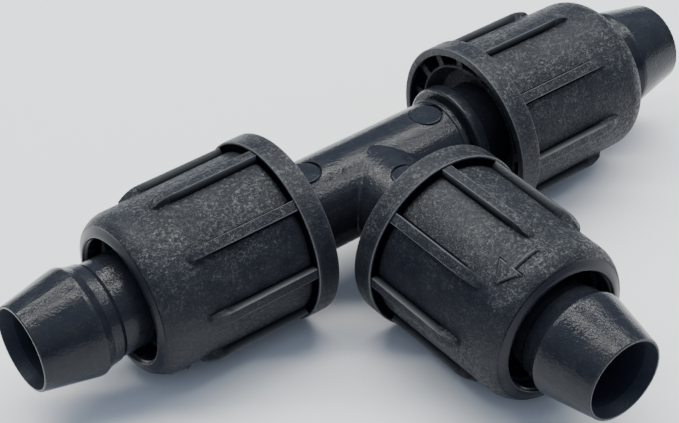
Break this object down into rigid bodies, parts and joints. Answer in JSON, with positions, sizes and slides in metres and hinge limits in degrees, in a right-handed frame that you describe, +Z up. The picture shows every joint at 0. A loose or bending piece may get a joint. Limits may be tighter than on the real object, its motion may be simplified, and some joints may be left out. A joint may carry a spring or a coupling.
{
  "type": "barbed tee fitting",
  "caption": "Barbed tee for thin-walled drip tubing, with a ribbed locking nut on each leg that slides along the leg and turns to clamp the tube.",
  "frame": {"origin": "the point where the centre line of the branch meets the centre line of the run", "axes": "+X along the run, -Y out along the branch, +Z up, square to the plane of the three legs"},
  "size_m": [0.1204, 0.0702, 0.0286],
  "materials": {
    "tee_plastic": "glossy black moulded plastic, slightly uneven as moulded",
    "nut_plastic": "matt black moulded plastic with a fine spark-eroded grain"
  },
  "bodies": {
    "tee_body": {"tee_body": "tee_plastic"},
    "ring_left": {"ring_left": "nut_plastic"},
    "nut_left": {"nut_left": "nut_plastic"},
    "ring_right": {"ring_right": "nut_plastic"},
    "nut_right": {"nut_right": "nut_plastic"},
    "ring_branch": {"ring_branch": "nut_plastic"},
    "nut_branch": {"nut_branch": "nut_plastic"}
  },
  "joints": [
    {"name": "left_nut_slide", "type": "slide", "parent": "tee_body", "child": "ring_left", "axis": [-1, 0, 0], "range_m": [-0.0014, 0.0252]},
    {"name": "left_nut_turn", "type": "hinge", "parent": "ring_left", "child": "nut_left", "pos_m": [-0.016, 0, 0], "axis": [-1, 0, 0], "continuous": true},
    {"name": "right_nut_slide", "type": "slide", "parent": "tee_body", "child": "ring_right", "axis": [1, 0, 0], "range_m": [-0.0046, 0.022]},
    {"name": "right_nut_turn", "type": "hinge", "parent": "ring_right", "child": "nut_right", "pos_m": [0.0192, 0, 0], "axis": [1, 0, 0], "continuous": true},
    {"name": "branch_nut_slide", "type": "slide", "parent": "tee_body", "child": "ring_branch", "axis": [0, -1, 0], "range_m": [-0.0007, 0.0216]},
    {"name": "branch_nut_turn", "type": "hinge", "parent": "ring_branch", "child": "nut_branch", "pos_m": [0, -0.0153, 0], "axis": [0, -1, 0], "continuous": true}
  ]
}
